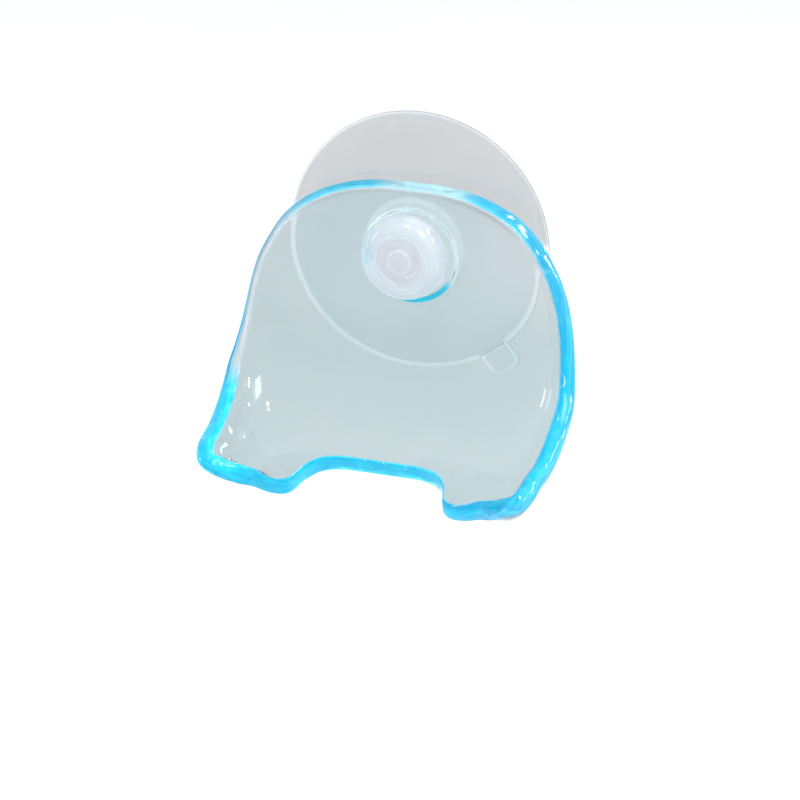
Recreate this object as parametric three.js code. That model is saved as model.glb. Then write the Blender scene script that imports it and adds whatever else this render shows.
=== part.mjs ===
// Suction holder for a hanging bathroom implement: a soft clear suction cup with
// a mushroom knob, and a clear tinted holder body that hangs on the knob.
// Units are millimetres. +X is right, the front is -Y (the wall is behind, at
// y = 0), +Z is up. The origin is the centre of the suction face on the wall.
import * as THREE from 'three';

// ---- driving dimensions -------------------------------------------------
const GAP = 0.3;               // clearance between neighbouring pieces

const CUP_R = 21;              // suction cup radius
const CUP_EDGE = 0.8;          // thickness of the cup at its edge
const SEAL_IN = 17.5;          // flat sealing ring, inner radius
const SEAL_OUT = 20.6;         // flat sealing ring, outer radius

const HUB_R = 7.5;             // boss in the middle of the cup
const HUB_BACK = 1.0;          // its back, clear of the wall
const HUB_FRONT = 2.2;
const NECK_R = 4.1;            // neck that the holder body hangs on
const HEAD_BACK = 6.5;         // underside of the mushroom head
const HEAD_R = 6.75;           // widest radius of the head
const HEAD_CREST = 10.2;       // top of the head's rounded rim
const NUB_TOP = 10.3;          // nub in the middle of the dished head

const TAB_ANGLE = -51.3;       // pull tab, degrees from +X towards +Z
const TAB_W = 5.4;             // its width
const TAB_END = 24.8;          // its outer end, from the cup centre
const TAB_T = 0.7;             // its thickness
const TAB_BACK = 0.1;          // its back, clear of the wall

const SHEET_T = 3.0;           // wall thickness of the holder body
const SHEET_F = 4.7;           // its middle surface, in front of the wall
const HOLE_R = 5.3;            // hole for the neck
const HOLE_DROP = 0.9;         // the hole centre sits this far under the neck
const COLLAR_R = 7.25;         // raised collar round the hole, on the back, at half its height
const COLLAR_SLOPE = 0.4;      // its side leans out by this much each way
const COLLAR_H = 0.6;
const BEND_START = 10.3;       // arc length below the cup centre
const BEND_R = 21.5;           // radius of the bend to the shelf
const BEND_ANGLE = 78;         // degrees
const EDGE_ROUND = 0.45;       // rounding of the rim edge

// Half outline of the flat pattern, from the top centre round to the slot:
// x to the right, q = length down the sheet from the height of the cup centre,
// then the angle and the radius of the curled rim there.
const OUTLINE = [
  [0, -10.7, 13, 6], [6, -10.5, 13, 6], [11.5, -9.3, 15, 6.5], [16.5, -6.95, 21.5, 7],
  [20.25, -3.6, 28, 8.1], [22.65, 0.2, 33, 8.2], [24.15, 3.35, 37, 8.3], [25.2, 6.85, 40, 8.5],
  [25.95, 10.8, 44, 9.2], [26.45, 15, 50, 9.2], [26.85, 18.6, 57, 8.3], [27.15, 22.3, 65, 7.6],
  [27, 26.9, 70.5, 7.6], [26.7, 32.5, 73.4, 7.9], [26.4, 37.55, 74, 8.3], [26.05, 41.2, 75, 8.6],
  [25.75, 44.15, 74, 8.6], [24.75, 46.2, 69.6, 8.45], [22.75, 46.65, 63, 8.6], [20.5, 45.6, 47.3, 8.4],
  [18.15, 44.5, 30, 8.2], [16.2, 44.6, 12, 7], [14.2, 44.6, 4, 6], [12.8, 44.2, 0, 5],
  [11.9, 43.2, 0, 5], [11.4, 41.5, 0, 5], [10.7, 39.6, 0, 5], [9.2, 37.8, 0, 5],
  [6.5, 36.9, 0, 5], [3, 36.8, 0, 5], [0, 36.8, 0, 5],
];

// ---- small helpers --------------------------------------------------------
const DEG = Math.PI / 180;

function mesh(name, geometry, color, opacity) {
  const material = new THREE.MeshStandardMaterial({
    color, roughness: 0.2, transparent: opacity < 1, opacity,
  });
  const m = new THREE.Mesh(geometry, material);
  m.name = name;
  return m;
}

function fromTriangles(points, triangles) {
  let volume = 0;
  for (const [a, b, c] of triangles) {
    const [A, B, C] = [points[a], points[b], points[c]];
    volume += A[0] * (B[1] * C[2] - B[2] * C[1])
      - A[1] * (B[0] * C[2] - B[2] * C[0])
      + A[2] * (B[0] * C[1] - B[1] * C[0]);
  }
  const g = new THREE.BufferGeometry();
  g.setAttribute('position', new THREE.Float32BufferAttribute(points.flat(), 3));
  g.setIndex(triangles.flatMap(([a, b, c]) => (volume < 0 ? [a, c, b] : [a, b, c])));
  g.computeVertexNormals();
  return g;
}

// A body of revolution about the Y axis from [radius, forward] points. The profile
// starts and ends on the axis, or closes on itself.
function revolve(profile, segments) {
  return new THREE.LatheGeometry(profile.map(([r, f]) => new THREE.Vector2(r, -f)), segments);
}

// ---- suction cup ------------------------------------------------------------
const disc = revolve([
  [HUB_R + GAP, 0.3], [11, 0.22], [14.5, 0.1], [SEAL_IN, 0], [SEAL_OUT, 0],
  [20.9, 0.14], [CUP_R, 0.42], [20.75, 0.68], [20.2, CUP_EDGE], [18.5, 1.02],
  [15.5, 1.2], [11.5, 1.34], [HUB_R + GAP, 1.4], [HUB_R + GAP, 0.3],
].reverse(), 48);

const knob = revolve([
  [0, HUB_BACK], [HUB_R, HUB_BACK], [HUB_R, HUB_FRONT - 0.25], [HUB_R - 0.25, HUB_FRONT],
  [NECK_R + 0.5, HUB_FRONT], [NECK_R, HUB_FRONT + 0.5],
  [NECK_R, HEAD_BACK - 0.15], [NECK_R + 0.15, HEAD_BACK], [5.6, HEAD_BACK],
  [6.45, 6.8], [HEAD_R, 7.35], [6.65, 8.1], [6.4, 8.75], [5.95, 9.4], [5.4, 9.9],
  [4.8, HEAD_CREST], [4.2, HEAD_CREST - 0.03], [3.65, 10.0], [3.2, 9.8], [2.2, 9.8],
  [1.9, 10.0], [1.7, NUB_TOP - 0.06], [1.3, NUB_TOP], [0, NUB_TOP],
].reverse(), 40);

// ---- pull tab -----------------------------------------------------------------
function tabGeometry() {
  const half = TAB_W / 2;
  const root = CUP_R + GAP;                  // the root edge follows the cup edge
  const turn = Math.asin(half / root);
  const end = 1.9;                           // length of the rounded end
  const shape = new THREE.Shape();
  shape.absarc(0, 0, root, turn, -turn, true);
  shape.lineTo(TAB_END - end, -half);
  shape.absellipse(TAB_END - end, 0, end, half, -Math.PI / 2, Math.PI / 2, false, 0);
  shape.closePath();
  const bevel = 0.15;
  const geometry = new THREE.ExtrudeGeometry(shape, {
    depth: TAB_T - 2 * bevel,
    bevelEnabled: true,
    bevelThickness: bevel,
    bevelSize: bevel,
    bevelOffset: -bevel,
    bevelSegments: 1,
    curveSegments: 8,
  });
  geometry.translate(0, 0, TAB_BACK + bevel);
  return geometry.rotateX(Math.PI / 2).rotateY(-TAB_ANGLE * DEG);
}

// ---- holder body: a bent sheet with a curled rim --------------------------------
// Smooth curve through the outline points, with the curl carried along.
function smoothOutline(step) {
  const n = OUTLINE.length;
  const at = (i) => {
    if (i < 0) return [-OUTLINE[1][0], ...OUTLINE[1].slice(1)];
    if (i >= n) return [-OUTLINE[n - 2][0], ...OUTLINE[n - 2].slice(1)];
    return OUTLINE[i];
  };
  const fine = [];
  for (let i = 0; i < n - 1; i++) {
    const [p0, p1, p2, p3] = [at(i - 1), at(i), at(i + 1), at(i + 2)];
    for (let k = 0; k < 24; k++) {
      const t = k / 24;
      fine.push([0, 1, 2, 3].map((d) => 0.5 * (2 * p1[d] + (p2[d] - p0[d]) * t
        + (2 * p0[d] - 5 * p1[d] + 4 * p2[d] - p3[d]) * t * t
        + (3 * p1[d] - p0[d] - 3 * p2[d] + p3[d]) * t * t * t)));
    }
  }
  fine.push(OUTLINE[n - 1]);
  const length = [0];
  for (let i = 1; i < fine.length; i++) {
    length.push(length[i - 1] + Math.hypot(fine[i][0] - fine[i - 1][0], fine[i][1] - fine[i - 1][1]));
  }
  const total = length[length.length - 1];
  const count = Math.round(total / step);
  const out = [];
  let k = 0;
  for (let i = 0; i <= count; i++) {
    const want = (total * i) / count;
    while (k < fine.length - 2 && length[k + 1] < want) k++;
    const t = (want - length[k]) / (length[k + 1] - length[k]);
    out.push([0, 1, 2, 3].map((d) => fine[k][d] + (fine[k + 1][d] - fine[k][d]) * t));
  }
  out[0][0] = 0;
  out[count][0] = 0;
  return out;
}

const RIM = smoothOutline(0.5);              // for the curl field

// Forward/up position and normal of the bent middle line at length q.
function spine(q) {
  const end = BEND_ANGLE * DEG;
  if (q <= BEND_START) return { f: SHEET_F, z: -q, nf: 1, nz: 0 };
  const a = Math.min((q - BEND_START) / BEND_R, end);
  const over = Math.max(0, q - BEND_START - BEND_R * end);
  return {
    f: SHEET_F + BEND_R * (1 - Math.cos(a)) + over * Math.sin(a),
    z: -BEND_START - BEND_R * Math.sin(a) - over * Math.cos(a),
    nf: Math.cos(a),
    nz: Math.sin(a),
  };
}

// Height of the curled rim over the bent sheet.
function rise(x, q) {
  let best = 0;
  const ax = Math.abs(x);
  for (let i = 0; i < RIM.length - 1; i++) {
    const A = RIM[i];
    const B = RIM[i + 1];
    const bx = B[0] - A[0];
    const bq = B[1] - A[1];
    const t = Math.max(0, Math.min(1, ((ax - A[0]) * bx + (q - A[1]) * bq) / (bx * bx + bq * bq)));
    const d = Math.hypot(ax - A[0] - t * bx, q - A[1] - t * bq);
    const angle = Math.max(0, A[2] + (B[2] - A[2]) * t) * DEG;
    const radius = A[3] + (B[3] - A[3]) * t;
    const e = radius * Math.sin(angle) - d;
    if (e > 0) best = Math.max(best, radius - Math.sqrt(radius * radius - e * e));
  }
  return best;
}

function middle(x, q) {
  const s = spine(q);
  const h = rise(x, q);
  return [x, -(s.f + h * s.nf), s.z + h * s.nz];
}

// A point at an offset from the middle surface. On the rim the slope is taken
// just inside it, in the direction "inward".
function sheetPoint(x, q, offset, inward = [0, 0]) {
  const h = 0.05;
  const px = x + 0.1 * inward[0];
  const pq = q + 0.1 * inward[1];
  const a = middle(px - h, pq);
  const b = middle(px + h, pq);
  const c = middle(px, pq - h);
  const d = middle(px, pq + h);
  const u = [b[0] - a[0], b[1] - a[1], b[2] - a[2]];
  const v = [d[0] - c[0], d[1] - c[1], d[2] - c[2]];
  const n = [
    v[1] * u[2] - v[2] * u[1],
    v[2] * u[0] - v[0] * u[2],
    v[0] * u[1] - v[1] * u[0],
  ];
  const len = Math.hypot(...n);
  const m = middle(x, q);
  const s = spine(q);
  const side = s.nz * n[2] - s.nf * n[1] < 0 ? -1 : 1;
  return m.map((value, k) => value + (side * offset * n[k]) / len);
}

// Delaunay triangulation of points in the plane.
function delaunay(pts) {
  const n = pts.length;
  const all = [...pts, [-1000, -1000], [1000, -1000], [0, 1500]];
  const circum = (a, b, c) => {
    const [ax, ay] = all[a];
    const bx = all[b][0] - ax;
    const by = all[b][1] - ay;
    const cx = all[c][0] - ax;
    const cy = all[c][1] - ay;
    const d = 2 * (bx * cy - by * cx);
    const ux = (cy * (bx * bx + by * by) - by * (cx * cx + cy * cy)) / d;
    const uy = (bx * (cx * cx + cy * cy) - cx * (bx * bx + by * by)) / d;
    return [a, b, c, ax + ux, ay + uy, ux * ux + uy * uy];
  };
  let tris = [circum(n, n + 1, n + 2)];
  for (let i = 0; i < n; i++) {
    const [x, y] = pts[i];
    const edges = new Map();
    const keep = [];
    for (const t of tris) {
      const dx = x - t[3];
      const dy = y - t[4];
      if (dx * dx + dy * dy < t[5]) {
        for (const [a, b] of [[t[0], t[1]], [t[1], t[2]], [t[2], t[0]]]) {
          const back = `${b},${a}`;
          if (edges.has(back)) edges.delete(back);
          else edges.set(`${a},${b}`, [a, b]);
        }
      } else keep.push(t);
    }
    tris = keep;
    for (const [a, b] of edges.values()) tris.push(circum(a, b, i));
  }
  return tris.filter((t) => t[0] < n && t[1] < n && t[2] < n).map((t) => [t[0], t[1], t[2]]);
}

function holderGeometry() {
  const STEP = 2.0;
  const rim = smoothOutline(STEP);
  const inward = rim.map((p, i) => {
    if (i === 0) return [0, 1];
    if (i === rim.length - 1) return [0, -1];
    const a = rim[i - 1];
    const b = rim[i + 1];
    const dx = b[0] - a[0];
    const dq = b[1] - a[1];
    const len = Math.hypot(dx, dq);
    return [-dq / len, dx / len];
  });
  const edge = rim.map((p, i) => [
    p[0] + EDGE_ROUND * inward[i][0], p[1] + EDGE_ROUND * inward[i][1],
  ]);
  edge[0][0] = 0;
  edge[edge.length - 1][0] = 0;

  // Half of the hole, from its bottom round +X to its top.
  const ring = (r, count) => {
    const out = [];
    for (let i = 0; i <= count; i++) {
      const a = (Math.PI * i) / count;
      out.push([i === 0 || i === count ? 0 : r * Math.sin(a), HOLE_DROP + r * Math.cos(a)]);
    }
    return out;
  };
  const hole = ring(HOLE_R, 12);
  const collarTop = ring(COLLAR_R - COLLAR_SLOPE, 12);
  const collarFoot = ring(COLLAR_R + COLLAR_SLOPE, 12);

  const inside = (x, q) => {
    let odd = false;
    const poly = edge;
    for (let i = 0, j = poly.length - 1; i < poly.length; j = i++) {
      const [xi, qi] = poly[i];
      const [xj, qj] = poly[j];
      if ((qi > q) !== (qj > q) && x < ((xj - xi) * (q - qi)) / (qj - qi) + xi) odd = !odd;
    }
    return odd && Math.hypot(x, q - HOLE_DROP) > HOLE_R;
  };
  const away = (x, q) => {
    let best = 1e9;
    for (let i = 0; i < edge.length - 1; i++) {
      const [ax, aq] = edge[i];
      const [bx, bq] = edge[i + 1];
      const t = Math.max(0, Math.min(1, ((x - ax) * (bx - ax) + (q - aq) * (bq - aq))
        / ((bx - ax) ** 2 + (bq - aq) ** 2)));
      best = Math.min(best, Math.hypot(x - ax - t * (bx - ax), q - aq - t * (bq - aq)));
    }
    return best;
  };

  const flat = [...edge, ...hole, ...collarTop, ...collarFoot];
  const add = (x, q, room) => {
    for (const [a, b] of flat) if (Math.hypot(a - x, b - q) < room) return;
    flat.push([x, q]);
  };
  // Points of the middle line x = 0.
  const top = edge[0][1];
  const bottom = edge[edge.length - 1][1];
  for (const q of [top + 2.2, HOLE_DROP + COLLAR_R + 2.4]) add(0, q, 0.5);
  for (let q = HOLE_DROP + COLLAR_R + 5; q < bottom - 1.5; q += 2.9) add(0, q, 0.9);
  // Rows along the rim, then a loose grid inside.
  for (const [d, every] of [[1.35, 1], [2.75, 1], [4.4, 2]]) {
    for (let i = 1; i < edge.length - 1; i += every) {
      const x = edge[i][0] + d * inward[i][0];
      const q = edge[i][1] + d * inward[i][1];
      if (x > 0.8 && inside(x, q) && away(x, q) > 0.93 * d
        && Math.hypot(x, q - HOLE_DROP) > COLLAR_R + 1.2) add(x, q, 1.05);
    }
  }
  const PITCH = 3.6;
  for (let row = 0; row < 20; row++) {
    const q = -9 + row * PITCH * 0.866;
    for (let k = 0; k < 9; k++) {
      const x = 1.8 + k * PITCH + (row % 2) * PITCH * 0.5 + 0.03 * Math.sin(7 * row + 3 * k);
      if (inside(x, q) && away(x, q) > 5.2
        && Math.hypot(x, q - HOLE_DROP) > COLLAR_R + 1.6) add(x, q, 1.9);
    }
  }

  const faces = delaunay(flat).filter(([a, b, c]) => inside(
    (flat[a][0] + flat[b][0] + flat[c][0]) / 3,
    (flat[a][1] + flat[b][1] + flat[c][1]) / 3,
  ));

  const points = [];
  const triangles = [];
  const half = SHEET_T / 2;
  const mirror = ([x, y, z]) => [-x, y, z];
  const put = (p) => points.push(p) - 1;
  const pair = (x, q, offset, towards) => {
    const p = sheetPoint(x, q, offset, towards);
    if (x === 0) p[0] = 0;
    const right = put(p);
    return [right, x === 0 ? right : put(mirror(p))];
  };
  const front = flat.map(([x, q]) => pair(x, q, half));
  const back = flat.map(([x, q]) => {
    const r = Math.hypot(x, q - HOLE_DROP);
    return pair(x, q, -half - (r < COLLAR_R ? COLLAR_H : 0));
  });
  for (const [a, b, c] of faces) {
    const [A, B, C] = [a, b, c].map((i) => flat[i]);
    const turn = (B[0] - A[0]) * (C[1] - A[1]) - (B[1] - A[1]) * (C[0] - A[0]);
    const [i, j, k] = turn > 0 ? [a, b, c] : [a, c, b];
    triangles.push([front[i][0], front[k][0], front[j][0]], [front[i][1], front[j][1], front[k][1]]);
    triangles.push([back[i][0], back[j][0], back[k][0]], [back[i][1], back[k][1], back[j][1]]);
  }
  // Rim edge: two rows between the front and back faces.
  const rowA = rim.map(([x, q], i) => pair(x, q, 0.62 * half, inward[i]));
  const rowB = rim.map(([x, q], i) => pair(x, q, -0.62 * half, inward[i]));
  const rows = [front.slice(0, edge.length), rowA, rowB, back.slice(0, edge.length)];
  for (let k = 0; k < 3; k++) {
    for (let i = 0; i < edge.length - 1; i++) {
      const [a, b, c, d] = [rows[k][i], rows[k][i + 1], rows[k + 1][i + 1], rows[k + 1][i]];
      triangles.push([a[0], b[0], c[0]], [a[0], c[0], d[0]]);
      triangles.push([a[1], c[1], b[1]], [a[1], d[1], c[1]]);
    }
  }
  // Wall of the hole.
  const h0 = edge.length;
  for (let i = 0; i < hole.length - 1; i++) {
    const [a, b] = [front[h0 + i], front[h0 + i + 1]];
    const [c, d] = [back[h0 + i + 1], back[h0 + i]];
    triangles.push([a[0], b[0], c[0]], [a[0], c[0], d[0]]);
    triangles.push([a[1], c[1], b[1]], [a[1], d[1], c[1]]);
  }
  return fromTriangles(points, triangles);
}

// ---- assembly -------------------------------------------------------------------
const part = new THREE.Group();
part.name = 'suction_holder';
part.add(mesh('suction_disc', disc, 0xd6d8dd, 0.6));
part.add(mesh('suction_knob', knob, 0xe2e5ec, 0.8));
part.add(mesh('pull_tab', tabGeometry(), 0xd6d8dd, 0.6));
part.add(mesh('holder_body', holderGeometry(), 0xa9dbe8, 0.5));

export default part;
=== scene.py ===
import math
import bpy
import numpy as np
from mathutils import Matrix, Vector
from mathutils.geometry import delaunay_2d_cdt


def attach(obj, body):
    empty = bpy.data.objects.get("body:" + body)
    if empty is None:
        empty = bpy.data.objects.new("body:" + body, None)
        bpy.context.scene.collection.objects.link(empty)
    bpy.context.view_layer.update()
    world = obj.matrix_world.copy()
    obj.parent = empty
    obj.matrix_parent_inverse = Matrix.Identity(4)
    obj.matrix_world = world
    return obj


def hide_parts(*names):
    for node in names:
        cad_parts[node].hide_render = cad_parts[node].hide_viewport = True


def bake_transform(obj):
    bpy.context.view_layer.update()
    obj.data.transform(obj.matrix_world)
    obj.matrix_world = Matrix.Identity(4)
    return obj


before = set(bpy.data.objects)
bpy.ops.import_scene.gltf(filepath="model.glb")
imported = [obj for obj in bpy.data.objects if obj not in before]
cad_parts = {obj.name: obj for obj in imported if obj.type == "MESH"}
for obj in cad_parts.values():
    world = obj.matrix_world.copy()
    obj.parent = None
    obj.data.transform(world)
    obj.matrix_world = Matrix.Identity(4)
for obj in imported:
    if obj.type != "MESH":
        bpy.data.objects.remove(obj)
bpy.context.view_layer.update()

MM = 0.001

# ---- driving dimensions, in millimetres ------------------------------------------
SHEET_T = 3.0            # wall thickness of the holder body
SHEET_F = 4.7            # its middle surface, in front of the wall
HOLE_R = 5.3             # hole for the neck
HOLE_DROP = 0.9          # the hole centre sits this far under the neck
COLLAR_R = 7.25          # raised collar round the hole, on the back, at half its height
COLLAR_SLOPE = 0.4       # its side leans out by this much each way
COLLAR_H = 0.6
BEND_START = 10.3
BEND_R = 21.5
BEND_ANGLE = 78.0
RIM_ROUND = 0.6          # rounding of the rim edge

# Half outline of the flat pattern: x, length down the sheet, curl angle, curl radius.
OUTLINE = np.array([
    [0, -10.7, 13, 6], [6, -10.5, 13, 6], [11.5, -9.3, 15, 6.5], [16.5, -6.95, 21.5, 7],
    [20.25, -3.6, 28, 8.1], [22.65, 0.2, 33, 8.2], [24.15, 3.35, 37, 8.3], [25.2, 6.85, 40, 8.5],
    [25.95, 10.8, 44, 9.2], [26.45, 15, 50, 9.2], [26.85, 18.6, 57, 8.3], [27.15, 22.3, 65, 7.6],
    [27, 26.9, 70.5, 7.6], [26.7, 32.5, 73.4, 7.9], [26.4, 37.55, 74, 8.3], [26.05, 41.2, 75, 8.6],
    [25.75, 44.15, 74, 8.6], [24.75, 46.2, 69.6, 8.45], [22.75, 46.65, 63, 8.6], [20.5, 45.6, 47.3, 8.4],
    [18.15, 44.5, 30, 8.2], [16.2, 44.6, 12, 7], [14.2, 44.6, 4, 6], [12.8, 44.2, 0, 5],
    [11.9, 43.2, 0, 5], [11.4, 41.5, 0, 5], [10.7, 39.6, 0, 5], [9.2, 37.8, 0, 5],
    [6.5, 36.9, 0, 5], [3, 36.8, 0, 5], [0, 36.8, 0, 5],
], dtype=float)


# ---- small helpers ------------------------------------------------------------------
def make_object(name, points_mm, faces, smooth=True):
    me = bpy.data.meshes.new(name)
    me.from_pydata([tuple(p) for p in np.asarray(points_mm) * MM], [], [tuple(int(i) for i in f) for f in faces])
    me.update()
    if smooth:
        me.polygons.foreach_set("use_smooth", [True] * len(me.polygons))
    ob = bpy.data.objects.new(name, me)
    bpy.context.scene.collection.objects.link(ob)
    return ob


def float_attribute(ob, name, values):
    layer = ob.data.attributes.new(name, 'FLOAT', 'POINT')
    layer.data.foreach_set("value", np.asarray(values, dtype=np.float32))


def inside_loop(loop, x, q):
    """Which of the points lie inside a closed loop."""
    odd = np.zeros(len(x), dtype=bool)
    a = np.asarray(loop)
    b = np.roll(a, 1, axis=0)
    for (xi, qi), (xj, qj) in zip(a, b):
        if qi == qj:
            continue
        cross = ((qi > q) != (qj > q)) & (x < (xj - xi) * (q - qi) / (qj - qi) + xi)
        odd ^= cross
    return odd


def fill_loop(loop, extra):
    """Triangles of a closed loop with extra points inside it, counter-clockwise."""
    pts = np.vstack([loop, extra]) if len(extra) else np.asarray(loop)
    n = len(loop)
    edges = [(i, (i + 1) % n) for i in range(n)]
    co, _, tris, origin, _, _ = delaunay_2d_cdt([Vector(p) for p in pts], edges, [], 0, 1e-6)
    index = [o[0] for o in origin]
    tris = np.array([[index[i] for i in t] for t in tris])
    mid = pts[tris].mean(1)
    tris = tris[inside_loop(loop, mid[:, 0], mid[:, 1])]
    p, r, s = pts[tris[:, 0]], pts[tris[:, 1]], pts[tris[:, 2]]
    turn = (r[:, 0] - p[:, 0]) * (s[:, 1] - p[:, 1]) - (r[:, 1] - p[:, 1]) * (s[:, 0] - p[:, 0])
    tris[turn < 0] = tris[turn < 0][:, [0, 2, 1]]
    return pts, tris


# ---- holder body: a bent sheet with a curled rim --------------------------------------
def smooth_outline(step):
    n = len(OUTLINE)
    flip = np.array([-1, 1, 1, 1])
    pts = np.vstack([OUTLINE[1] * flip, OUTLINE, OUTLINE[-2] * flip])
    t = (np.arange(24) / 24)[:, None]
    fine = []
    for i in range(1, n):
        p0, p1, p2, p3 = pts[i - 1], pts[i], pts[i + 1], pts[i + 2]
        fine.append(0.5 * (2 * p1 + (p2 - p0) * t + (2 * p0 - 5 * p1 + 4 * p2 - p3) * t ** 2
                           + (3 * p1 - p0 - 3 * p2 + p3) * t ** 3))
    fine = np.vstack(fine + [OUTLINE[-1:]])
    length = np.concatenate([[0], np.cumsum(np.hypot(*np.diff(fine[:, :2], axis=0).T))])
    count = int(round(length[-1] / step))
    want = np.linspace(0, length[-1], count + 1)
    out = np.stack([np.interp(want, length, fine[:, k]) for k in range(4)], 1)
    out[0, 0] = out[-1, 0] = 0
    return out, want


FIELD, FIELD_S = smooth_outline(0.5)


def rim_field(x, q):
    """Height of the curled rim over the bent sheet, distance to the rim, length along it."""
    a, b = FIELD[:-1], FIELD[1:]
    ab = b[:, :2] - a[:, :2]
    ax = np.abs(x)[:, None] - a[:, 0]
    aq = q[:, None] - a[:, 1]
    t = np.clip((ax * ab[:, 0] + aq * ab[:, 1]) / (ab ** 2).sum(1), 0, 1)
    d = np.hypot(ax - t * ab[:, 0], aq - t * ab[:, 1])
    angle = np.radians(np.maximum(0, a[:, 2] + (b[:, 2] - a[:, 2]) * t))
    radius = a[:, 3] + (b[:, 3] - a[:, 3]) * t
    e = np.maximum(radius * np.sin(angle) - d, 0)
    h = radius - np.sqrt(np.maximum(radius ** 2 - e ** 2, 0))
    k = d.argmin(1)
    rows = np.arange(len(x))
    along = FIELD_S[k] + t[rows, k] * (FIELD_S[k + 1] - FIELD_S[k])
    return h.max(1), d[rows, k], along


def spine(q):
    end = math.radians(BEND_ANGLE)
    a = np.clip((q - BEND_START) / BEND_R, 0, end)
    over = np.maximum(0, q - BEND_START - BEND_R * end)
    flat = np.minimum(q, BEND_START)
    f = SHEET_F + BEND_R * (1 - np.cos(a)) + over * np.sin(a)
    z = -flat - BEND_R * np.sin(a) - over * np.cos(a)
    return f, z, np.cos(a), np.sin(a)


def middle(x, q):
    f, z, nf, nz = spine(q)
    h = rim_field(x, q)[0]
    return np.stack([x, -(f + h * nf), z + h * nz], 1)


def sheet_points(x, q, offset, px=None, pq=None):
    """Points at an offset from the middle surface, with the slope taken at px, pq."""
    px = x if px is None else px
    pq = q if pq is None else pq
    h = 0.06
    u = middle(px + h, pq) - middle(px - h, pq)
    v = middle(px, pq + h) - middle(px, pq - h)
    n = np.cross(v, u)
    n /= np.linalg.norm(n, axis=1)[:, None]
    _, _, nf, nz = spine(q)
    side = np.where(nz * n[:, 2] - nf * n[:, 1] < 0, -1.0, 1.0)
    return middle(x, q) + n * (side * offset)[:, None]


class Sheet:
    """Collects the mirrored points and faces of the holder body."""

    def __init__(self):
        self.points, self.faces, self.kind = [], [], []
        self.rim, self.along, self.across, self.glow, self.pale = [], [], [], [], []
        self.count = 0

    def add(self, x, q, offset, px=None, pq=None, glow=0.0, left_glow=None, left_pale=0.0):
        x = np.asarray(x, dtype=float)
        q = np.asarray(q, dtype=float)
        offset = np.broadcast_to(np.asarray(offset, dtype=float), x.shape)
        glow = np.broadcast_to(np.asarray(glow, dtype=float), x.shape)
        left_glow = glow if left_glow is None else left_glow
        p = sheet_points(x, q, offset, px, pq)
        on_axis = np.abs(x) < 1e-9
        p[on_axis, 0] = 0
        _, d, s = rim_field(x, q)
        right = np.arange(self.count, self.count + len(x))
        left = right.copy()
        m = ~on_axis
        left[m] = self.count + len(x) + np.arange(m.sum())
        q2 = p[m] * np.array([-1, 1, 1])
        self.points += [p, q2]
        self.rim += [d, d[m]]
        self.along += [s, -s[m]]
        self.across += [offset, offset[m]]
        self.glow += [glow, left_glow[m]]
        self.pale += [0 * x, np.broadcast_to(np.asarray(left_pale, dtype=float), x.shape)[m]]
        self.count += len(x) + int(m.sum())
        return right, left

    def strip(self, rows, kind):
        """Bands of quads between successive rows of (right, left) indices."""
        for (ar, al), (br, bl) in zip(rows[:-1], rows[1:]):
            for i in range(len(ar) - 1):
                self.faces.append((ar[i], ar[i + 1], br[i + 1], br[i]))
                self.faces.append((al[i], bl[i], bl[i + 1], al[i + 1]))
                self.kind += [kind, kind]

    def surface(self, tris, ids, front, kind):
        right, left = ids
        for i, j, k in tris:
            if front:
                self.faces += [(right[i], right[k], right[j]), (left[i], left[j], left[k])]
            else:
                self.faces += [(right[i], right[j], right[k]), (left[i], left[k], left[j])]
            self.kind += [kind, kind]


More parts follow.
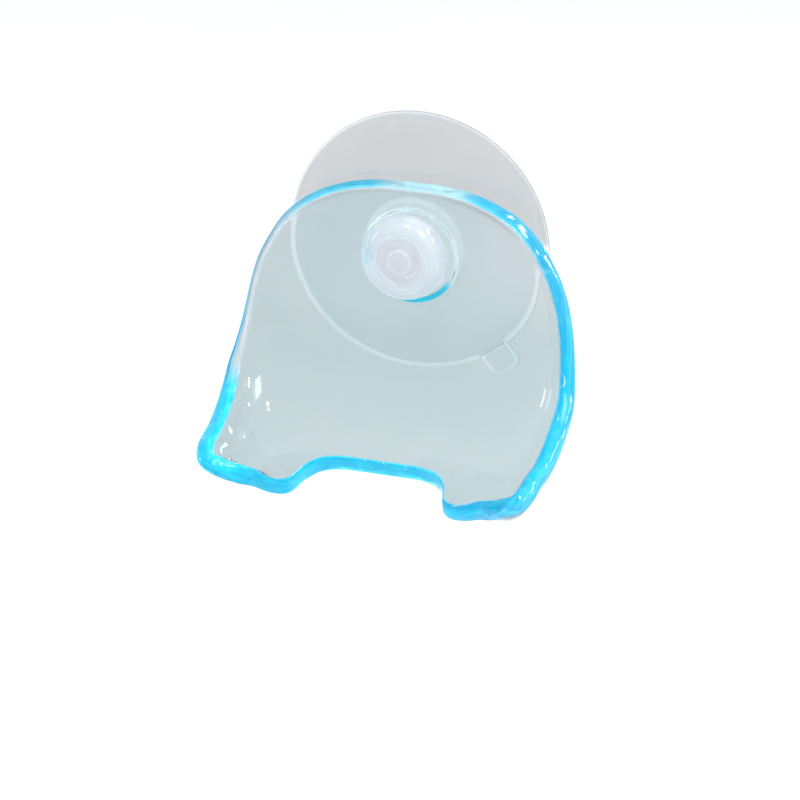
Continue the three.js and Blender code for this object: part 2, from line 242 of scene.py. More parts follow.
def build_holder():
    half = SHEET_T / 2
    rim, _ = smooth_outline(0.72)
    tangent = np.gradient(rim[:, :2], axis=0)
    tangent[0] = (1, 0)
    tangent[-1] = (-1, 0)
    tangent /= np.linalg.norm(tangent, axis=1)[:, None]
    inward = np.stack([-tangent[:, 1], tangent[:, 0]], 1)

    def ring(d):
        r = rim[:, :2] + d * inward
        r[0, 0] = r[-1, 0] = 0
        return r

    def half_circle(r, n=40):
        a = np.linspace(0, math.pi, n + 1)
        c = np.stack([r * np.sin(a), HOLE_DROP + r * np.cos(a)], 1)
        c[0, 0] = c[-1, 0] = 0
        return c

    edge = ring(RIM_ROUND)

    def face_points(hole_r):
        """Loop and inner points of one face in the flat pattern."""
        hole = half_circle(hole_r)
        low = np.arange(edge[-1, 1] - 1.2, HOLE_DROP + hole_r + 0.6, -1.35)
        high = np.arange(HOLE_DROP - hole_r - 0.6, edge[0, 1] + 0.5, -0.9)
        loop = np.vstack([edge, np.stack([0 * low, low], 1), hole, np.stack([0 * high, high], 1)])
        kept = [p for p in loop]
        extra = []

        def offer(x, q, room):
            near = np.asarray(kept) - (x, q)
            if (near ** 2).sum(1).min() > room * room:
                kept.append(np.array((x, q)))
                extra.append((x, q))

        for d in (0.4, 0.95, 1.7, 2.6, 3.7, 5.0):
            r = ring(RIM_ROUND + d)
            ok = inside_loop(loop, r[:, 0], r[:, 1])
            _, away, _ = rim_field(r[:, 0], r[:, 1])
            ok &= (away > (RIM_ROUND + d) * 0.96) & (r[:, 0] > 0.45)
            ok &= np.hypot(r[:, 0], r[:, 1] - HOLE_DROP) > hole_r + 0.5
            for x, q in r[ok]:
                offer(x, q, 0.45)
        for k, r in enumerate((hole_r + 0.55, hole_r + 1.2, hole_r + 2.1)):
            c = half_circle(r)
            ok = inside_loop(loop, c[:, 0], c[:, 1]) & (c[:, 0] > 0.3)
            for x, q in c[ok]:
                offer(x, q, 0.42)
        pitch = 1.5
        rows = int(60 / (pitch * 0.866))
        gx, gq = [], []
        for row in range(rows):
            for k in range(22):
                gx.append(0.75 + k * pitch + (row % 2) * pitch / 2)
                gq.append(-11 + row * pitch * 0.866)
        gx, gq = np.array(gx), np.array(gq)
        ok = inside_loop(loop, gx, gq)
        _, away, _ = rim_field(gx, gq)
        ok &= (away > RIM_ROUND + 5.6) | ((away > RIM_ROUND + 1.2) & (away < 0))
        for x, q in zip(gx[ok], gq[ok]):
            offer(x, q, 0.85)
        return fill_loop(loop, np.array(extra))

    s = Sheet()
    ne = len(edge)

    # Front face, then back face outside the collar.
    round_hole = 0.5
    pts_f, tri_f = face_points(HOLE_R + round_hole)
    front = s.add(pts_f[:, 0], pts_f[:, 1], half)
    s.surface(tri_f, front, True, 0)
    foot = COLLAR_R + COLLAR_SLOPE + 0.1
    pts_b, tri_b = face_points(foot)
    # Painted glow on the back face near the lower rim, narrower on the right; those faces take the edge material.
    deep = rim_field(pts_b[:, 0], pts_b[:, 1])[1]
    low = np.clip((pts_b[:, 1] - 24) / 10, 0, 1)
    fall = np.clip((5.0 - deep) / 4.4, 0, 1)
    back_glow = 0.75 * fall * fall * (3 - 2 * fall) * low * low * (3 - 2 * low)
    thin = np.clip((1.7 - deep) / 1.1, 0, 1)
    right_glow = back_glow * thin * thin * (3 - 2 * thin)
    back = s.add(pts_b[:, 0], pts_b[:, 1], -half, glow=right_glow, left_glow=back_glow)
    near = back_glow[tri_b].max(1) > 0.004
    s.surface(tri_b[~near], back, False, 0)
    s.surface(tri_b[near], back, False, 1)

    # Rounded rim edge. Its glow is painted row by row: the back rows glow, and more of the front rows lower down.
    lower = np.clip((rim[:, 1] - 14) / 16, 0, 1)
    lower = lower * lower * (3 - 2 * lower)
    rows = [(front[0][:ne], front[1][:ne])]
    # Upper left: painted light makes the edge pale there, with only its back corner vivid.
    clear = np.clip((rim[:, 0] - 15) / 8, 0, 1) * np.clip((28 - rim[:, 1]) / 7, 0, 1)
    clear = clear * clear * (3 - 2 * clear)
    profile = []
    for k in range(1, 18):
        t = math.pi * k / 18
        o = half * math.copysign(abs(math.cos(t)) ** 0.75, math.cos(t))
        d = RIM_ROUND * (1 - math.sin(t) ** 0.75)
        a = math.degrees(math.acos(max(0.0, 1 - (half - abs(o)) / 0.6)))
        if o > 0:
            ease = np.clip((a - (30 - 30 * lower)) / (42 - 10 * lower), 0, 1)
        else:
            ease = np.full(len(rim), min(1.0, (a + 10) / 40))
        ease = ease * ease * (3 - 2 * ease)
        line = np.clip((0.05 - o) / 0.3, 0, 1)
        profile.append((d, o, ease, clear * (1 - line), clear * line))
    for d, o, ease, left_pale, left_deep in profile:
        r = ring(d)
        g = ring(max(d, 0.14))
        rows.append(s.add(r[:, 0], r[:, 1], o, g[:, 0], g[:, 1], glow=ease, left_pale=left_pale - left_deep))
    rows.append((back[0][:ne], back[1][:ne]))
    s.strip(rows, 1)

    # Wall of the hole and the collar on the back.
    n_hole = 41
    nf = len(pts_f)
    loop_f = [i for i in range(nf) if abs(math.hypot(pts_f[i, 0], pts_f[i, 1] - HOLE_DROP) - HOLE_R - round_hole) < 1e-6]
    loop_b = [i for i in range(len(pts_b)) if abs(math.hypot(pts_b[i, 0], pts_b[i, 1] - HOLE_DROP) - foot) < 1e-6]
    assert len(loop_f) == n_hole and len(loop_b) == n_hole
    rows = [(front[0][loop_f], front[1][loop_f])]
    low = -half - COLLAR_H
    wall = []
    for k in range(1, 5):
        a = math.radians(90 * k / 4)
        wall.append((HOLE_R + round_hole * (1 - math.sin(a)), half - round_hole * (1 - math.cos(a))))
    wall += [(HOLE_R, 0.4), (HOLE_R, -0.7)]
    for k in range(0, 5):
        a = math.radians(90 * k / 4)
        wall.append((HOLE_R + 0.35 * (1 - math.cos(a)), low + 0.35 * (1 - math.sin(a))))
    n_wall = len(wall)
    top = COLLAR_R - COLLAR_SLOPE
    wall += [(top - 0.25, low), (top - 0.08, low + 0.03), (top + 0.06, low + 0.1)]
    n_face = len(wall)
    for t in (0.2, 0.4, 0.6, 0.8):
        wall.append((top + 2 * COLLAR_SLOPE * t, low + COLLAR_H * t))
    wall.append((COLLAR_R + COLLAR_SLOPE - 0.04, -half - 0.05))
    # Painted glow on the collar's sloped side, over its lower part: a wider arc on the right than on the left.
    angle = np.linspace(0, 180, n_hole)
    fade = np.clip((66 - angle) / 16, 0, 1)
    fade = fade * fade * (3 - 2 * fade)
    left_fade = np.clip((26 - angle) / 18, 0, 1)
    left_fade = left_fade * left_fade * (3 - 2 * left_fade)
    for k, (r, o) in enumerate(wall):
        c = half_circle(r)
        on = 1.0 if k >= n_face - 1 else 0.0
        rows.append(s.add(c[:, 0], c[:, 1], o, glow=on * fade, left_glow=on * left_fade))
    rows.append((back[0][loop_b], back[1][loop_b]))
    s.strip(rows[:n_wall + 1], 2)
    s.strip(rows[n_wall:n_face + 1], 0)
    s.strip(rows[n_face:], 2)

    ob = make_object("holder_clear_body", np.vstack(s.points), s.faces)
    float_attribute(ob, "rim", np.concatenate(s.rim))
    float_attribute(ob, "along", np.concatenate(s.along))
    float_attribute(ob, "across", np.concatenate(s.across))
    float_attribute(ob, "glow", np.concatenate(s.glow))
    float_attribute(ob, "pale", np.concatenate(s.pale))
    ob.data.polygons.foreach_set("material_index", s.kind)
    return ob


# ---- suction cup: one soft moulding, disc, hub, neck and mushroom head -----------------
def corner_cut(points, rounds):
    p = np.array(points, dtype=float)
    for _ in range(rounds):
        a, b = p[:-1], p[1:]
        cut = np.empty((2 * len(a), 2))
        cut[0::2] = 0.75 * a + 0.25 * b
        cut[1::2] = 0.25 * a + 0.75 * b
        p = np.vstack([p[:1], cut, p[-1:]])
    return p


def revolve(name, profile, segments):
    """Closed body of revolution about Y; the profile starts and ends on the axis."""
    prof = np.asarray(profile)
    turn = np.linspace(0, 2 * math.pi, segments, endpoint=False)
    pts = [(0, -prof[0, 1], 0)]
    for r, f in prof[1:-1]:
        pts += [(r * math.cos(t), -f, r * math.sin(t)) for t in turn]
    pts.append((0, -prof[-1, 1], 0))
    n = segments
    m = len(prof) - 2
    faces = []
    for j in range(n):
        k = (j + 1) % n
        faces.append((0, 1 + j, 1 + k))
        for i in range(m - 1):
            a = 1 + i * n
            b = a + n
            faces.append((a + j, b + j, b + k, a + k))
        last = 1 + (m - 1) * n
        faces.append((last + j, 1 + m * n, last + k))
    return make_object(name, pts, faces)


CUP = [
    (0, 1.0), (3, 1.0), (6, 1.0), (7.2, 0.85), (8.5, 0.45), (11, 0.24), (14.5, 0.1), (17.5, 0.0), (19.2, 0.0),
    (20.6, 0.0), (20.92, 0.14), (21.04, 0.42), (20.8, 0.68), (20.2, 0.8), (18.5, 1.02),
    (15.5, 1.2), (11.5, 1.36), (9, 1.5), (7.9, 1.75), (7.4, 2.1), (7.1, 2.2), (6.0, 2.2), (4.9, 2.2),
    (4.3, 2.45), (4.1, 2.9), (4.1, 4.5), (4.1, 6.1), (4.3, 6.45), (4.7, 6.5), (5.7, 6.5),
    (6.5, 6.76), (6.8, 7.35), (6.72, 8.05), (6.44, 8.75), (5.98, 9.4), (5.45, 9.9), (4.85, 10.2), (4.25, 10.2), (3.7, 10.03),
    (3.3, 9.84), (3.0, 9.8), (2.4, 9.8), (2.08, 9.82), (1.92, 9.95), (1.82, 10.16), (1.62, 10.27), (1.1, 10.28),
    (0.5, 10.26), (0, 10.26),
]


def build_cup():
    return revolve("cup_clear_moulding", corner_cut(CUP, 2), 128)


# ---- pull tab ------------------------------------------------------------------------------
TAB_ANGLE = -51.3
TAB_HALF = 2.7
TAB_END = 24.8
TAB_ROOT = 20.5


def build_tab():
    """Rounded tongue: stacked outlines with a soft edge, its root let into the cup edge."""
    def outline(inset):
        root = TAB_ROOT
        half = TAB_HALF - inset
        turn = math.asin(half / root)
        pts = [(root * math.cos(t), root * math.sin(t)) for t in np.linspace(turn, -turn, 13)]
        end = 1.9 - inset * 0.6
        base = TAB_END - 1.9 - inset * 0.4
        for x in np.linspace(pts[-1][0], base, 6)[1:-1]:
            pts.append((x, -half))
        for t in np.linspace(-math.pi / 2, math.pi / 2, 25):
            ct, st = math.cos(t), math.sin(t)
            pts.append((base + end * abs(ct) ** 0.8, half * math.copysign(abs(st) ** 0.8, st)))
        for x in np.linspace(base, pts[0][0], 6)[1:-1]:
            pts.append((x, half))
        return np.array(pts)

    layers = [(0.28, 0.1), (0.08, 0.16), (0.0, 0.34), (0.0, 0.56), (0.08, 0.74), (0.28, 0.8), (0.62, 0.8)]
    pts, faces, kinds = [], [], []
    loops = []
    for inset, f in layers:
        o = outline(inset)
        loops.append(np.arange(len(pts), len(pts) + len(o)))
        pts += [(x, -f, y) for x, y in o]
    n = len(loops[0])
    for a, b in zip(loops[:-1], loops[1:]):
        for i in range(n):
            j = (i + 1) % n
            faces.append((a[i], a[j], b[j], b[i]))
            kinds.append(2 if i < 13 and j < 13 else 1)
    for loop, f, front in ((0, 0.1, False), (len(layers) - 1, 0.8, True)):
        o = outline(layers[loop][0])
        gx, gy = np.meshgrid(np.arange(20.9, 24.5, 0.45), np.arange(-2.7, 2.71, 0.45))
        gx, gy = gx.ravel(), gy.ravel()
        ok = inside_loop(o, gx, gy)
        grid = np.stack([gx[ok], gy[ok]], 1)
        near = np.sqrt(((grid[:, None] - o[None]) ** 2).sum(2)).min(1)
        grid = grid[near > 0.25]
        flat, tris = fill_loop(o, grid)
        index = list(loops[loop]) + list(range(len(pts), len(pts) + len(grid)))
        pts += [(x, -f, y) for x, y in grid]
        for i, j, k in tris:
            t = (index[i], index[j], index[k])
            faces.append(t if front else t[::-1])
            kinds.append(0)
    p = np.array(pts)
    a = math.radians(TAB_ANGLE)
    x = p[:, 0] * math.cos(a) - p[:, 2] * math.sin(a)
    z = p[:, 0] * math.sin(a) + p[:, 2] * math.cos(a)
    ob = make_object("cup_pull_tab", np.stack([x, p[:, 1], z], 1), faces)
    ob.data.polygons.foreach_set("material_index", kinds)
    return ob


def outward(ob):
    """Faces point outwards: flips the whole mesh if its volume is negative."""
    me = ob.data
    me.calc_loop_triangles()
    co = np.empty(len(me.vertices) * 3)
    me.vertices.foreach_get("co", co)
    co = co.reshape(-1, 3)
    tri = np.empty(len(me.loop_triangles) * 3, dtype=np.int64)
    me.loop_triangles.foreach_get("vertices", tri)
    a, b, c = (co[tri.reshape(-1, 3)[:, k]] for k in range(3))
    if np.einsum('ij,ij->i', a, np.cross(b, c)).sum() < 0:
        me.flip_normals()


# ---- materials --------------------------------------------------------------------------------
def new_material(name):
    m = bpy.data.materials.new(name)
    m.use_nodes = True
    nt = m.node_tree
    return m, nt, nt.nodes["Principled BSDF"], nt.nodes["Material Output"]


def node(nt, kind, **values):
    n = nt.nodes.new(kind)
    for key, value in values.items():
        setattr(n, key, value)
    return n


def ramp(nt, stops):
    r = nt.nodes.new("ShaderNodeValToRGB")
    while len(r.color_ramp.elements) < len(stops):
        r.color_ramp.elements.new(0.5)
    for e, (pos, col) in zip(r.color_ramp.elements, stops):
        e.position = pos
        e.color = (*col, 1.0) if len(col) == 3 else col
    return r


def noise(nt, vector, scale, detail=3.0, rough=0.5):
    n = nt.nodes.new("ShaderNodeTexNoise")
    n.inputs["Scale"].default_value = scale
    n.inputs["Detail"].default_value = detail
    n.inputs["Roughness"].default_value = rough
    nt.links.new(vector, n.inputs["Vector"])
    return n


def map_range(nt, value, a, b, c, d, smooth=True):
    n = nt.nodes.new("ShaderNodeMapRange")
    n.interpolation_type = 'SMOOTHSTEP' if smooth else 'LINEAR'
    nt.links.new(value, n.inputs["Value"])
    for key, v in zip(("From Min", "From Max", "To Min", "To Max"), (a, b, c, d)):
        n.inputs[key].default_value = v
    return n.outputs["Result"]


def mix_color(nt, factor, a, b):
    n = nt.nodes.new("ShaderNodeMix")
    n.data_type = 'RGBA'
    nt.links.new(factor, n.inputs["Factor"])
    for sock, value in ((n.inputs[6], a), (n.inputs[7], b)):
        if hasattr(value, "is_linked"):
            nt.links.new(value, sock)
        else:
            sock.default_value = (*value, 1.0)
    return n.outputs[2]


def bump(nt, bsdf, height, strength, distance):
    b = nt.nodes.new("ShaderNodeBump")
    b.inputs["Strength"].default_value = strength
    b.inputs["Distance"].default_value = distance
    nt.links.new(height, b.inputs["Height"])
    nt.links.new(b.outputs["Normal"], bsdf.inputs["Normal"])


def attribute(nt, name):
    a = nt.nodes.new("ShaderNodeAttribute")
    a.attribute_name = name
    return a.outputs["Fac"]


def scaled(nt, value, gain):
    n = node(nt, "ShaderNodeMath", operation='MULTIPLY')
    nt.links.new(value, n.inputs[0])
    if hasattr(gain, "is_linked"):
        nt.links.new(gain, n.inputs[1])
    else:
        n.inputs[1].default_value = gain
    return n.outputs[0]


def sheet_tint(nt, tc):
    """Pale teal of the clear sheet, a little greyer towards the top."""
    broad = noise(nt, tc, 55.0, 2.0)
    low = ramp(nt, [(0.35, (0.450, 0.551, 0.575)), (0.65, (0.482, 0.571, 0.592))])
    high = ramp(nt, [(0.35, (0.487, 0.573, 0.597)), (0.65, (0.518, 0.592, 0.614))])
    for r in (low, high):
        nt.links.new(broad.outputs["Fac"], r.inputs["Fac"])
    xyz = node(nt, "ShaderNodeSeparateXYZ")
    nt.links.new(tc, xyz.inputs[0])
    tint = mix_color(nt, map_range(nt, xyz.outputs["Z"], -0.012, 0.008, 0.0, 1.0), low.outputs["Color"], high.outputs["Color"])
    right = scaled(nt, map_range(nt, xyz.outputs["X"], 0.006, 0.016, 0.0, 0.8),
                   map_range(nt, xyz.outputs["Z"], -0.012, 0.0, 0.0, 1.0))
    return mix_color(nt, right, tint, (0.565, 0.606, 0.630))


def holder_face_material():
    m, nt, bsdf, _ = new_material("clear_tinted_plastic")
    tc = node(nt, "ShaderNodeTexCoord").outputs["Object"]
    nt.links.new(sheet_tint(nt, tc), bsdf.inputs["Base Color"])
    bsdf.inputs["Transmission Weight"].default_value = 1.0
    bsdf.inputs["IOR"].default_value = 1.49
    haze = noise(nt, tc, 900.0, 4.0)
    nt.links.new(map_range(nt, haze.outputs["Fac"], 0.3, 0.75, 0.015, 0.06), bsdf.inputs["Roughness"])
    wave = noise(nt, tc, 140.0, 2.0)
    bump(nt, bsdf, wave.outputs["Fac"], 0.06, 0.0006)
    return m


def rim_coordinates(nt):
    """Coordinates that run along the rim and across its edge."""
    comb = node(nt, "ShaderNodeCombineXYZ")
    nt.links.new(scaled(nt, attribute(nt, "along"), 0.16), comb.inputs["X"])
    nt.links.new(scaled(nt, attribute(nt, "across"), 1.1), comb.inputs["Y"])
    return comb.outputs["Vector"]


def holder_edge_material():
    """Cut edge of the tinted sheet: light gathered by the sheet leaves it here, so it is vivid; that glow is
    painted in, as emission and colour set by position, brighter lower down.
    """
    m, nt, bsdf, _ = new_material("clear_tinted_plastic_edge")
    tc = node(nt, "ShaderNodeTexCoord").outputs["Object"]
    rimco = rim_coordinates(nt)
    glow = attribute(nt, "glow")
    inside = node(nt, "ShaderNodeNewGeometry").outputs["Backfacing"]
    streak = noise(nt, rimco, 1.9, 4.0, 0.6)
    patch = noise(nt, tc, 520.0, 3.0, 0.6)
    xyz = node(nt, "ShaderNodeSeparateXYZ")
    nt.links.new(tc, xyz.inputs[0])
    low = ramp(nt, [(0.28, (0.0, 0.46, 0.83)), (0.45, (0.0, 0.56, 0.91)), (0.60, (0.0, 0.65, 0.95)),
                    (0.74, (0.02, 0.74, 0.98))])
    high = ramp(nt, [(0.28, (0.012, 0.36, 0.62)), (0.45, (0.02, 0.45, 0.71)), (0.60, (0.05, 0.53, 0.77)),
                     (0.74, (0.14, 0.62, 0.83))])
    for r in (low, high):
        nt.links.new(streak.outputs["Fac"], r.inputs["Fac"])
    upper = map_range(nt, xyz.outputs["Z"], -0.014, 0.001, 0.0, 1.0)
    hue = mix_color(nt, upper, low.outputs["Color"], high.outputs["Color"])
    # Paler at the top, where light leaves the edge straight up.
    pale = scaled(nt, map_range(nt, xyz.outputs["X"], -0.0065, -0.0025, 0.0, 1.0),
                  map_range(nt, xyz.outputs["X"], 0.0070, 0.0115, 0.9, 0.0))
    pale = scaled(nt, pale, map_range(nt, xyz.outputs["Z"], 0.004, 0.008, 0.0, 1.0))
    hue = mix_color(nt, pale, hue, (0.345, 0.575, 0.635))
    light = scaled(nt, map_range(nt, patch.outputs["Fac"], 0.48, 0.70, 0.0, 0.26),
                   map_range(nt, upper, 0.0, 1.0, 1.0, 0.35, False))
    vivid = mix_color(nt, light, hue, (0.16, 0.83, 0.99))
    # Painted light on the right edge: its back half paler, the rest a deeper blue, less so near the top.
    side = scaled(nt, map_range(nt, attribute(nt, "across"), 0.3, -1.3, 0.0, 0.24),
                  map_range(nt, xyz.outputs["X"], 0.004, 0.016, 0.0, 1.0))
    vivid = mix_color(nt, side, vivid, (0.30, 0.62, 0.80))
    deeper = scaled(nt, map_range(nt, xyz.outputs["X"], 0.006, 0.015, 0.0, 0.5),
                    map_range(nt, upper, 0.0, 1.0, 1.0, 0.45, False))
    vivid = mix_color(nt, deeper, vivid, (0.0, 0.34, 0.70))
    # Painted light on the upper left, where the 'pale' attribute is set: the edge pale grey, its back corner deep
    # blue.
    faint = ramp(nt, [(0.3, (0.40, 0.455, 0.495)), (0.7, (0.45, 0.495, 0.535))])
    nt.links.new(streak.outputs["Fac"], faint.inputs["Fac"])
    pale_side = attribute(nt, "pale")
    vivid = mix_color(nt, map_range(nt, pale_side, 0.0, 1.0, 0.0, 1.0, False), vivid, faint.outputs["Color"])
    vivid = mix_color(nt, map_range(nt, pale_side, 0.0, -1.0, 0.0, 0.8, False), vivid, (0.0, 0.27, 0.52))
    # A few fine pale lines, sparser at the top: partly flow marks in the plastic, partly painted glints.
    streak_and_glint = noise(nt, tc, 210.0, 0.0)
    ridge = node(nt, "ShaderNodeMath", operation='SUBTRACT')
    nt.links.new(streak_and_glint.outputs["Fac"], ridge.inputs[0])
    ridge.inputs[1].default_value = 0.5
    width = node(nt, "ShaderNodeMath", operation='ABSOLUTE')
    nt.links.new(ridge.outputs[0], width.inputs[0])
    line = map_range(nt, width.outputs[0], 0.0, 0.012, 1.0, 0.0)
    sparse = scaled(nt, map_range(nt, noise(nt, tc, 260.0, 1.0).outputs["Fac"], 0.57, 0.66, 0.0, 0.75),
                    map_range(nt, upper, 0.0, 1.0, 1.0, 0.2, False))
    marked = mix_color(nt, scaled(nt, line, sparse), vivid, (0.75, 0.96, 1.0))
    lit = node(nt, "ShaderNodeMath", operation='SUBTRACT')
    lit.inputs[0].default_value = 1.0
    nt.links.new(inside, lit.inputs[1])
    shows = scaled(nt, lit.outputs[0], glow)
    nt.links.new(mix_color(nt, shows, sheet_tint(nt, tc), marked), bsdf.inputs["Base Color"])
    nt.links.new(map_range(nt, shows, 0.0, 1.0, 1.0, 0.4, False), bsdf.inputs["Transmission Weight"])
    bsdf.inputs["IOR"].default_value = 1.49
    bsdf.inputs["Specular IOR Level"].default_value = 0.4
    nt.links.new(map_range(nt, streak.outputs["Fac"], 0.3, 0.7, 0.03, 0.10), bsdf.inputs["Roughness"])
    nt.links.new(marked, bsdf.inputs["Emission Color"])
    nt.links.new(scaled(nt, shows, 0.25), bsdf.inputs["Emission Strength"])
    height = node(nt, "ShaderNodeMath", operation='ADD')
    nt.links.new(patch.outputs["Fac"], height.inputs[0])
    nt.links.new(scaled(nt, streak.outputs["Fac"], 1.5), height.inputs[1])
    bump(nt, bsdf, height.outputs[0], 0.05, 0.0005)
    return m


def holder_collar_material():
    """Sloped side of the collar: painted glow, vivid along its lower part, pale above."""
    m, nt, bsdf, _ = new_material("clear_tinted_plastic_collar")
    tc = node(nt, "ShaderNodeTexCoord").outputs["Object"]
    glow = attribute(nt, "glow")
    streak = noise(nt, tc, 380.0, 3.0)
    hue = ramp(nt, [(0.32, (0.0, 0.48, 0.74)), (0.68, (0.0, 0.68, 0.90))])
    nt.links.new(streak.outputs["Fac"], hue.inputs["Fac"])
    pale = mix_color(nt, glow, (0.72, 0.84, 0.87), hue.outputs["Color"])
    nt.links.new(pale, bsdf.inputs["Base Color"])
    nt.links.new(map_range(nt, glow, 0.15, 0.9, 1.0, 0.2), bsdf.inputs["Transmission Weight"])
    bsdf.inputs["Specular IOR Level"].default_value = 0.35
    bsdf.inputs["IOR"].default_value = 1.49
    nt.links.new(map_range(nt, streak.outputs["Fac"], 0.3, 0.7, 0.05, 0.14), bsdf.inputs["Roughness"])
    nt.links.new(pale, bsdf.inputs["Emission Color"])
    nt.links.new(map_range(nt, glow, 0.15, 0.9, 0.09, 0.55), bsdf.inputs["Emission Strength"])
    bump(nt, bsdf, streak.outputs["Fac"], 0.1, 0.0004)
    return m


def cup_material(name, kind):
    """Soft clear vinyl of the cup, in the look of one of its zones."""
    m, nt, bsdf, _ = new_material(name)
    tc = node(nt, "ShaderNodeTexCoord").outputs["Object"]
    xyz = node(nt, "ShaderNodeSeparateXYZ")
    nt.links.new(tc, xyz.inputs[0])
    cloud = noise(nt, tc, 160.0, 3.0)

    def pair(dark, pale):
        r = ramp(nt, [(0.3, dark), (0.7, pale)])
        nt.links.new(cloud.outputs["Fac"], r.inputs["Fac"])
        return r.outputs["Color"]

    # Height, bowed like the top of the sheet in front of it.
    shift = node(nt, "ShaderNodeMath", operation='ADD')
    nt.links.new(xyz.outputs["X"], shift.inputs[0])
    shift.inputs[1].default_value = 0.0016
    sq = scaled(nt, shift.outputs[0], shift.outputs[0])
    bow = node(nt, "ShaderNodeMath", operation='MULTIPLY_ADD')
    nt.links.new(sq, bow.inputs[0])
    bow.inputs[1].default_value = 16.0
    nt.links.new(xyz.outputs["Z"], bow.inputs[2])
    up = map_range(nt, bow.outputs[0], 0.0080, 0.0102, 0.0, 1.0)

    flat = node(nt, "ShaderNodeCombineXYZ")
    nt.links.new(xyz.outputs["X"], flat.inputs["X"])
    nt.links.new(xyz.outputs["Z"], flat.inputs["Y"])
    length = node(nt, "ShaderNodeVectorMath", operation='LENGTH')
    nt.links.new(flat.outputs["Vector"], length.inputs[0])
    away = length.outputs["Value"]

    if kind == "head":
        # Thick, milky.
        dish = map_range(nt, away, 0.0029, 0.0042, 1.0, 0.0)
        milky = mix_color(nt, dish, pair((0.545, 0.63, 0.685), (0.585, 0.665, 0.72)),
                          pair((0.515, 0.545, 0.60), (0.555, 0.585, 0.64)))
        # Fine turned arcs in the moulding, painted pale as highlights along them.
        turned = node(nt, "ShaderNodeCombineXYZ")
        nt.links.new(scaled(nt, away, 2800.0), turned.inputs["X"])
        nt.links.new(scaled(nt, xyz.outputs["X"], 260.0), turned.inputs["Y"])
        nt.links.new(scaled(nt, xyz.outputs["Z"], 260.0), turned.inputs["Z"])
        turned_arc_highlight = map_range(nt, noise(nt, turned.outputs["Vector"], 1.0, 1.0).outputs["Fac"], 0.54, 0.70, 0.0, 0.34)
        turned_arc_highlight = scaled(nt, turned_arc_highlight, map_range(nt, away, 0.0021, 0.0030, 0.15, 1.0))
        milky = mix_color(nt, turned_arc_highlight, milky, (0.76, 0.82, 0.86))
        # Painted highlight round the ring of the nub.
        nub_ring_highlight = scaled(nt, map_range(nt, away, 0.00150, 0.00172, 0.0, 0.25), map_range(nt, away, 0.00190, 0.00212, 1.0, 0.0))
        milky = mix_color(nt, nub_ring_highlight, milky, (0.80, 0.85, 0.89))
        # Painted cyan flecks: the sheet's edge showing through the left of the head.
        side = map_range(nt, xyz.outputs["X"], -0.0036, -0.0048, 0.0, 1.0)
        band = map_range(nt, xyz.outputs["Z"], -0.0035, -0.001, 0.0, 1.0)
        comb = node(nt, "ShaderNodeCombineXYZ")
        nt.links.new(scaled(nt, xyz.outputs["X"], 1800.0), comb.inputs["X"])
        nt.links.new(scaled(nt, xyz.outputs["Z"], 420.0), comb.inputs["Y"])
        fleck = map_range(nt, noise(nt, comb.outputs["Vector"], 1.0, 2.0).outputs["Fac"], 0.5, 0.62, 0.0, 0.7)
        mask = scaled(nt, scaled(nt, side, band), fleck)
        milky = mix_color(nt, mask, milky, (0.18, 0.56, 0.74))
        body = node(nt, "ShaderNodeVectorMath", operation='SCALE')
        nt.links.new(milky, body.inputs[0])
        body.inputs["Scale"].default_value = 0.46
        nt.links.new(body.outputs["Vector"], bsdf.inputs["Base Color"])
        # Emission evens out the head's shading: a painted glow.
        nt.links.new(milky, bsdf.inputs["Emission Color"])
        bsdf.inputs["Emission Strength"].default_value = 0.61
        bsdf.inputs["Transmission Weight"].default_value = 0.12
        bsdf.inputs["Coat Weight"].default_value = 0.08
        bsdf.inputs["Coat Roughness"].default_value = 0.08
        lo, hi = 0.09, 0.16
    elif kind == "hub":
        # Hub and neck, clear, with a painted milky glow that lifts their shade.
        milky = pair((0.93, 0.96, 0.97), (0.97, 0.985, 0.99))
        nt.links.new(milky, bsdf.inputs["Base Color"])
        bsdf.inputs["Transmission Weight"].default_value = 0.9
        nt.links.new(milky, bsdf.inputs["Emission Color"])
        bsdf.inputs["Emission Strength"].default_value = 0.22
        lo, hi = 0.2, 0.3
    elif kind == "root":
        # Inside the join of tab and disc, which are one moulding: no surface to see.
        nt.links.new(pair((0.955, 0.97, 0.975), (0.975, 0.985, 0.99)), bsdf.inputs["Base Color"])
        bsdf.inputs["Transmission Weight"].default_value = 1.0
        bsdf.inputs["Alpha"].default_value = 0.0
        lo, hi = 0.3, 0.4
    elif kind == "edge":
        # The thin edge scatters light, so it shows as a pale line: painted glow, from emission set by height and
        # by radius.
        low = pair((0.955, 0.97, 0.975), (0.975, 0.985, 0.99))
        high = pair((0.575, 0.593, 0.607), (0.595, 0.613, 0.627))
        nt.links.new(mix_color(nt, up, low, high), bsdf.inputs["Base Color"])
        bsdf.inputs["Transmission Weight"].default_value = 1.0
        nt.links.new(mix_color(nt, up, (1.0, 0.97, 0.94), (0.86, 0.95, 1.0)), bsdf.inputs["Emission Color"])
        outer = map_range(nt, away, 0.0205, 0.0209, 0.0, 0.2)
        total = node(nt, "ShaderNodeMath", operation='ADD')
        nt.links.new(map_range(nt, up, 0.0, 1.0, 0.175, 0.0, False), total.inputs[0])
        nt.links.new(scaled(nt, outer, up), total.inputs[1])
        nt.links.new(total.outputs[0], bsdf.inputs["Emission Strength"])
        lo, hi = 0.3, 0.4
    else:
        # Clear disc, greyer in its upper part above the sheet's top edge, clear lower down.
        low = pair((0.975, 0.988, 0.992), (0.988, 0.996, 0.998))
        high = pair((0.575, 0.593, 0.607), (0.595, 0.613, 0.627))
        nt.links.new(mix_color(nt, up, low, high), bsdf.inputs["Base Color"])
        bsdf.inputs["Transmission Weight"].default_value = 1.0
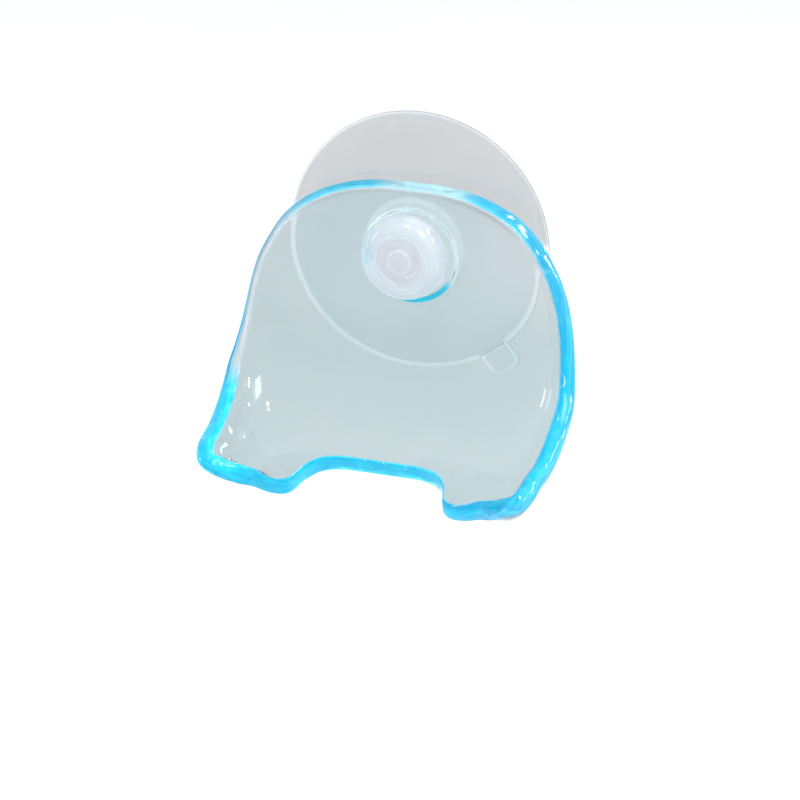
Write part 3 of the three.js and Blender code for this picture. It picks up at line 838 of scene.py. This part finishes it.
        # A faint painted cyan glow on the disc's lower part.
        bsdf.inputs["Emission Color"].default_value = (0.2, 0.75, 1.0, 1.0)
        nt.links.new(map_range(nt, up, 0.0, 1.0, 0.025, 0.0, False), bsdf.inputs["Emission Strength"])
        lo, hi = 0.10, 0.16
    bsdf.inputs["IOR"].default_value = 1.5
    haze = noise(nt, tc, 300.0, 3.0)
    nt.links.new(map_range(nt, haze.outputs["Fac"], 0.3, 0.75, lo, hi), bsdf.inputs["Roughness"])
    bump(nt, bsdf, cloud.outputs["Fac"], 0.04, 0.0005)
    return m


# ---- pieces -------------------------------------------------------------------------------------
holder = build_holder()
outward(holder)
holder.data.materials.append(holder_face_material())
holder.data.materials.append(holder_edge_material())
holder.data.materials.append(holder_collar_material())
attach(holder, "holder")
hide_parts("holder_body")

cup = build_cup()
outward(cup)
for name, kind in (("clear_soft_vinyl", "disc"), ("milky_soft_vinyl", "head"),
                   ("soft_vinyl_edge", "edge"), ("soft_vinyl_hub", "hub"), ("soft_vinyl_root", "root")):
    cup.data.materials.append(cup_material(name, kind))
kinds = []
for poly in cup.data.polygons:
    c = poly.center
    r = math.hypot(c.x, c.z)
    off_tab = abs(math.remainder(math.atan2(c.z, c.x) - math.radians(TAB_ANGLE), 2 * math.pi)) > 0.122
    kinds.append(1 if c.y < -0.0062 else 2 if r > 0.0199 and off_tab else 4 if r > 0.02045 else 3 if r < 0.0080 and c.y < -0.0016 else 0)
cup.data.polygons.foreach_set("material_index", kinds)
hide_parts("suction_disc", "suction_knob")
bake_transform(cup)

tab = build_tab()
outward(tab)
tab.data.materials.append(bpy.data.materials["clear_soft_vinyl"])
tab.data.materials.append(bpy.data.materials["soft_vinyl_edge"])
tab.data.materials.append(bpy.data.materials["soft_vinyl_root"])
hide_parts("pull_tab")
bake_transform(tab)

# ---- floor, light and camera ------------------------------------------------------------------
floor_me = bpy.data.meshes.new("floor")
floor_me.from_pydata([(-30, -30, -0.35), (30, -30, -0.35), (30, 30, -0.35), (-30, 30, -0.35)], [], [(0, 1, 2, 3)])
floor = bpy.data.objects.new("floor", floor_me)
bpy.context.scene.collection.objects.link(floor)
fm, fnt, fb, _ = new_material("floor_pale")
ftc = node(fnt, "ShaderNodeTexCoord").outputs["Object"]
fcol = ramp(fnt, [(0.3, (0.88, 0.88, 0.88)), (0.7, (0.90, 0.90, 0.90))])
fnt.links.new(noise(fnt, ftc, 3.0, 2.0).outputs["Fac"], fcol.inputs["Fac"])
fnt.links.new(fcol.outputs["Color"], fb.inputs["Base Color"])
fb.inputs["Roughness"].default_value = 0.9
floor_me.materials.append(fm)

scene = bpy.context.scene
world = bpy.data.worlds.new("studio")
scene.world = world
world.use_nodes = True
wnt = world.node_tree
bg = wnt.nodes["Background"]
wtc = node(wnt, "ShaderNodeTexCoord").outputs["Generated"]
wsep = node(wnt, "ShaderNodeSeparateXYZ")
wnt.links.new(wtc, wsep.inputs[0])
wr = ramp(wnt, [(0.0, (0.95, 0.95, 0.95)), (0.35, (0.80, 0.81, 0.82)), (0.75, (0.95, 0.96, 0.97)), (1.0, (1.0, 1.0, 1.0))])
wnt.links.new(wsep.outputs["Z"], wr.inputs["Fac"])
wnt.links.new(wr.outputs["Color"], bg.inputs["Color"])
bg.inputs["Strength"].default_value = 1.12


def area(name, location, target, size, power):
    data = bpy.data.lights.new(name, 'AREA')
    data.shape = 'RECTANGLE'
    data.size, data.size_y = size
    data.energy = power
    ob = bpy.data.objects.new(name, data)
    ob.location = location
    ob.rotation_euler = (Vector(target) - Vector(location)).to_track_quat('-Z', 'Y').to_euler()
    scene.collection.objects.link(ob)
    return ob


area("key", (0.62, -0.45, 0.95), (0, 0, -0.01), (0.36, 0.36), 2.4)
area("spot", (0.62, 0.25, 0.74), (0, 0, -0.02), (0.40, 0.08), 2.9)
area("side", (0.90, 0.25, 0.36), (0, 0, 0), (0.08, 0.12), 1.5)
area("shoulder", (0.84, -0.05, 0.53), (0, 0, 0), (0.08, 0.12), 1.0)
area("back", (0.57, 0.79, 0.20), (0, 0, -0.02), (0.10, 0.10), 0.9)
area("top", (0.38, 0.52, 0.76), (0, 0, -0.02), (0.08, 0.08), 0.7)
area("lip", (-0.03, -0.33, 0.95), (0, 0, -0.02), (0.12, 0.05), 0.8)
area("fill", (-1.05, -0.45, 0.30), (0, 0, -0.01), (0.12, 0.4), 1.2)

cam_data = bpy.data.cameras.new("camera")
cam_data.sensor_width = 36.0
cam_data.lens = 110.47
cam_data.clip_start = 0.01
cam = bpy.data.objects.new("camera", cam_data)
cam.location = (0.110579, -0.340329, 0.130244)
cam.rotation_euler = (math.radians(90 - 23.7066), 0, math.radians(18.4808))
scene.collection.objects.link(cam)
scene.camera = cam
scene.view_settings.view_transform = 'Standard'
scene.cycles.use_denoising = True
scene.cycles.max_bounces = 32
scene.cycles.transmission_bounces = 32

bpy.context.view_layer.update()
